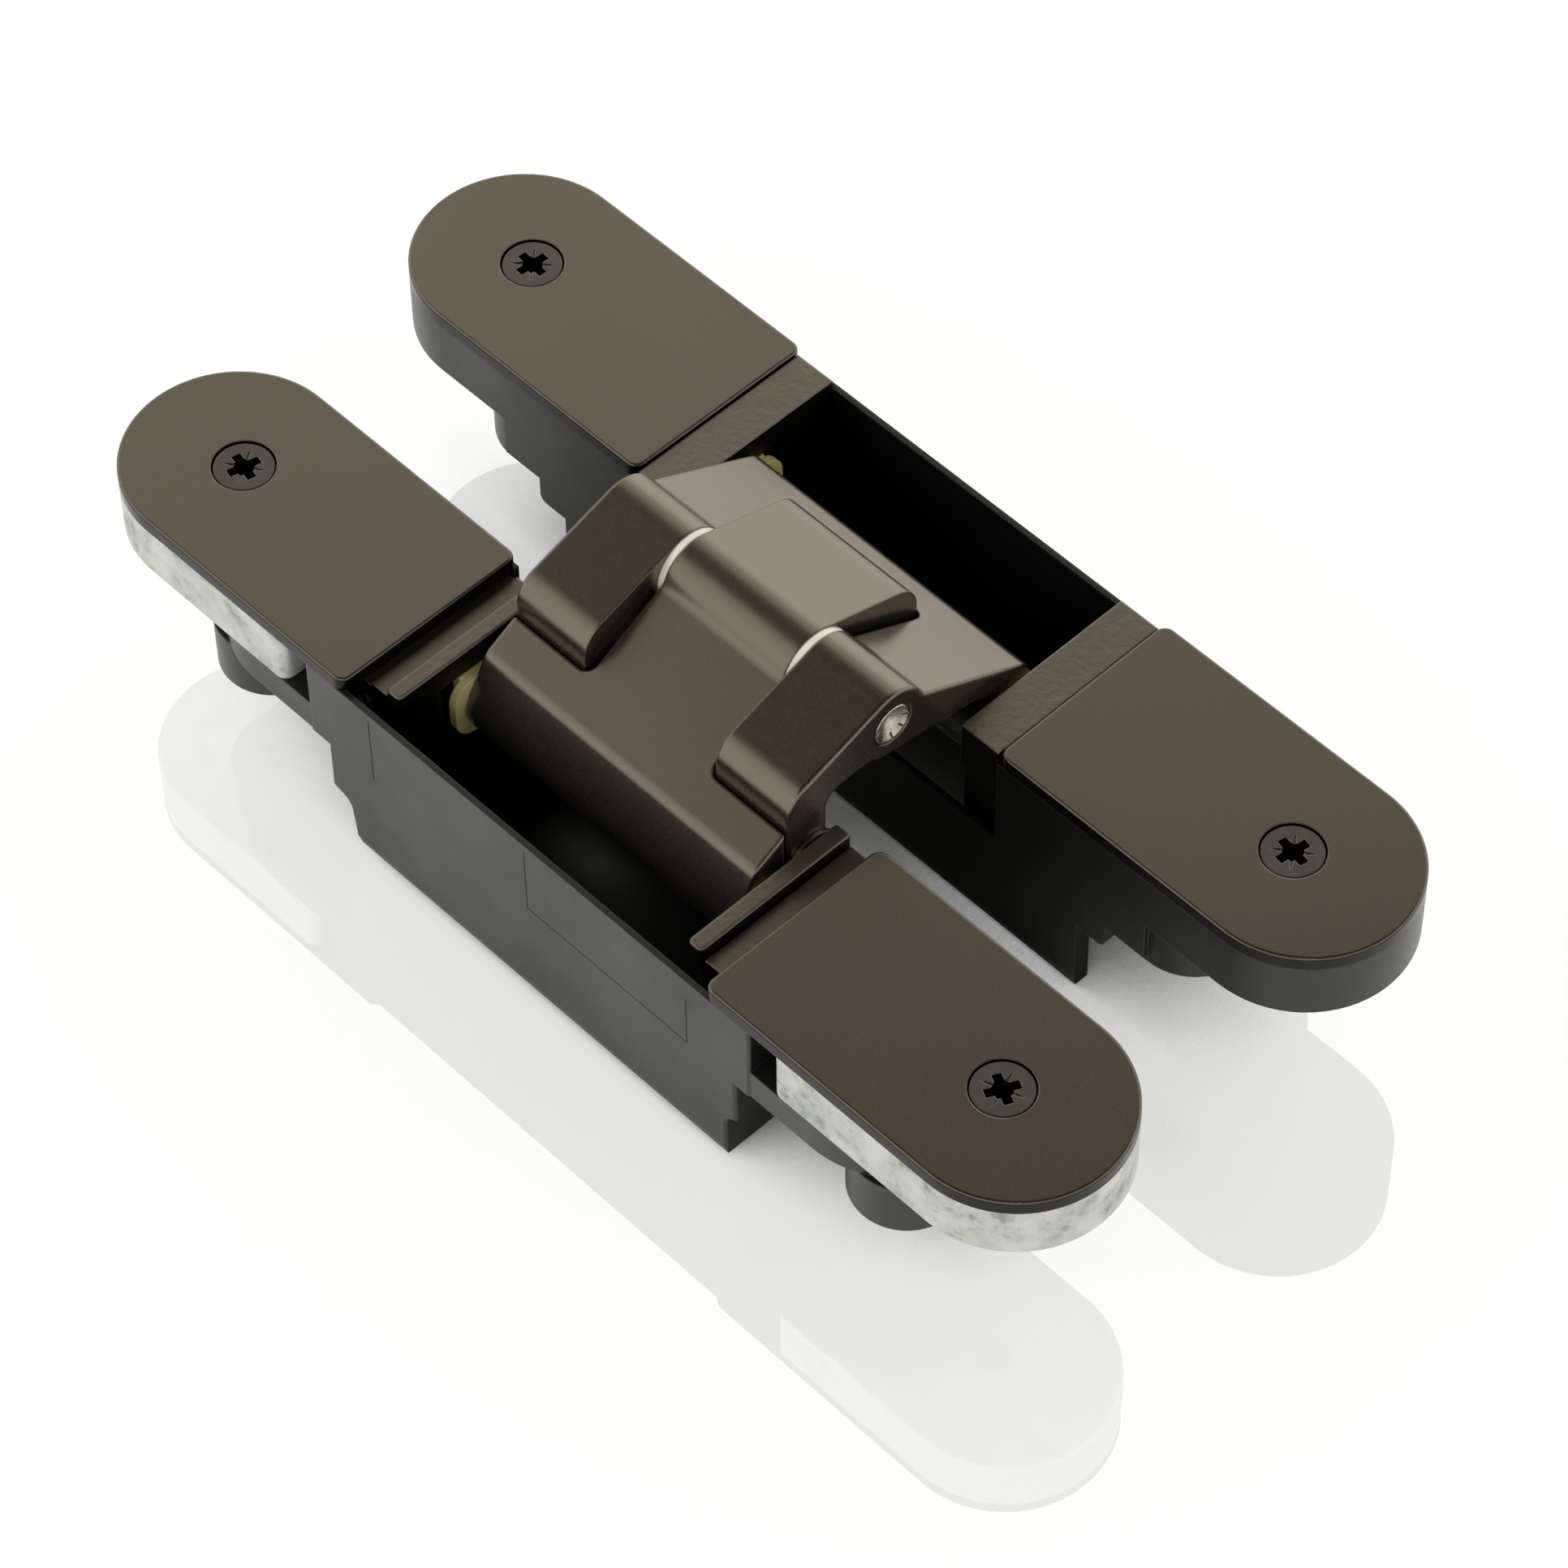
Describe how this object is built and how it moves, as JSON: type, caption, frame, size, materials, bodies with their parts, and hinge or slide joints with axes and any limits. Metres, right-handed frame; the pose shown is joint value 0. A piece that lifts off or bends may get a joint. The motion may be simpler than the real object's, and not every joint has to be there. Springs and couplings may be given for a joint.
{
  "type": "concealed door hinge",
  "caption": "Concealed door hinge with slim round-ended bodies, bronze covers, crossed arms on a centre pin and sliding shoes, adjustable for height and depth.",
  "frame": {"origin": "centre of the hinge folded flat, on the plane under the leaf housing, the deeper of the two", "axes": "+X along the hinge, which is upright on a hung door, +Y from the frame-side body to the leaf-side body, +Z out of the door edge through the covers"},
  "size_m": [0.16, 0.0752, 0.0445],
  "materials": {
    "frame_plastic": "fine matt dark grey moulded nylon",
    "leaf_plastic": "satin black moulded nylon",
    "raw_zinc": "bare cast zinc, mottled",
    "bronze_paint": "satin dark bronze paint, very fine grain",
    "screw_bronze": "dark bronze plated, slightly worn",
    "block_paint": "dark bronze paint over rough casting",
    "arm_paint": "satin dark bronze paint",
    "stainless": "turned stainless steel",
    "hidden_steel": "plain bright steel",
    "white_bush": "white low-friction plastic",
    "cream_plastic": "yellowish cream plastic"
  },
  "bodies": {
    "frame_body": {"frame_housing": "frame_plastic", "frame_end_block_left": "raw_zinc", "frame_end_block_right": "raw_zinc", "frame_cover_left": "bronze_paint", "frame_cover_right": "bronze_paint", "frame_cover_screw_left": "screw_bronze", "frame_cover_screw_right": "screw_bronze"},
    "height_screw": {"height_screw": "hidden_steel"},
    "guide_blocks": {"frame_guide_block_left": "block_paint", "frame_guide_block_right": "block_paint"},
    "depth_screw_left": {"depth_screw_left": "hidden_steel"},
    "depth_screw_right": {"depth_screw_right": "hidden_steel"},
    "bearing_blocks": {"frame_bearing_block_left": "block_paint", "frame_bearing_block_right": "block_paint", "frame_pivot_pin": "hidden_steel", "frame_pivot_washer_left": "hidden_steel", "frame_pivot_washer_right": "hidden_steel"},
    "forked_arm": {"forked_arm": "arm_paint", "centre_pin": "stainless", "centre_bush_left": "white_bush", "centre_bush_right": "white_bush", "frame_pivot_bush_left": "cream_plastic", "frame_pivot_bush_right": "cream_plastic", "leaf_slide_pin": "hidden_steel"},
    "central_arm": {"central_arm": "arm_paint", "frame_slide_pin": "hidden_steel", "leaf_pivot_bush": "cream_plastic"},
    "frame_shoes": {"frame_slide_shoe_left": "cream_plastic", "frame_slide_shoe_right": "cream_plastic"},
    "leaf_shoes": {"leaf_slide_shoe_left": "cream_plastic", "leaf_slide_shoe_right": "cream_plastic"},
    "leaf_body": {"leaf_housing": "leaf_plastic", "leaf_bearing_block_left": "block_paint", "leaf_bearing_block_right": "block_paint", "leaf_cover_left": "bronze_paint", "leaf_cover_right": "bronze_paint", "leaf_cover_screw_left": "screw_bronze", "leaf_cover_screw_right": "screw_bronze", "leaf_pivot_pin": "hidden_steel"}
  },
  "joints": [
    {"name": "height_adjust", "type": "slide", "parent": "frame_body", "child": "guide_blocks", "axis": [1, 0, 0], "range_m": [-0.002, 0.002]},
    {"name": "depth_adjust", "type": "slide", "parent": "guide_blocks", "child": "bearing_blocks", "axis": [0, 1, 0], "range_m": [-0.001, 0.001]},
    {"name": "fold", "type": "hinge", "parent": "bearing_blocks", "child": "forked_arm", "pos_m": [0, -0.0132, 0.0267], "axis": [1, 0, 0], "range_deg": [0, 109.5]},
    {"name": "arm_cross", "type": "hinge", "parent": "forked_arm", "child": "central_arm", "pos_m": [0, 0, 0.03945], "axis": [1, 0, 0], "range_deg": [-39.5, 0]},
    {"name": "leaf_pivot", "type": "hinge", "parent": "central_arm", "child": "leaf_body", "pos_m": [0, 0.0132, 0.0267], "axis": [1, 0, 0], "range_deg": [0, 110]},
    {"name": "frame_shoe_turn", "type": "hinge", "parent": "central_arm", "child": "frame_shoes", "pos_m": [0, -0.0217, 0.0232], "axis": [1, 0, 0], "range_deg": [-71, 0]},
    {"name": "leaf_shoe_turn", "type": "hinge", "parent": "forked_arm", "child": "leaf_shoes", "pos_m": [0, 0.0217, 0.0232], "axis": [1, 0, 0], "range_deg": [0, 71]},
    {"name": "height_screw_turn", "type": "hinge", "parent": "frame_body", "child": "height_screw", "pos_m": [-0.0374, -0.016, 0.0264], "axis": [1, 0, 0], "range_deg": [-1030.6, 1030.6]},
    {"name": "depth_screw_left_turn", "type": "hinge", "parent": "guide_blocks", "child": "depth_screw_left", "pos_m": [-0.03, -0.0335, 0.0264], "axis": [0, 1, 0], "range_deg": [-722, 722]},
    {"name": "depth_screw_right_turn", "type": "hinge", "parent": "guide_blocks", "child": "depth_screw_right", "pos_m": [0.03, -0.0335, 0.0264], "axis": [0, 1, 0], "range_deg": [-722, 722]}
  ],
  "couplings": [
    {"joint": "arm_cross", "follows": "fold", "ratio": -0.35616},
    {"joint": "leaf_pivot", "follows": "fold", "ratio": 1},
    {"joint": "frame_shoe_turn", "follows": "fold", "ratio": -0.64384},
    {"joint": "leaf_shoe_turn", "follows": "fold", "ratio": 0.64384},
    {"joint": "height_screw_turn", "follows": "height_adjust", "rad_per_m": -8976},
    {"joint": "depth_screw_left_turn", "follows": "depth_adjust", "rad_per_m": -12566},
    {"joint": "depth_screw_right_turn", "follows": "depth_adjust", "rad_per_m": -12566}
  ]
}
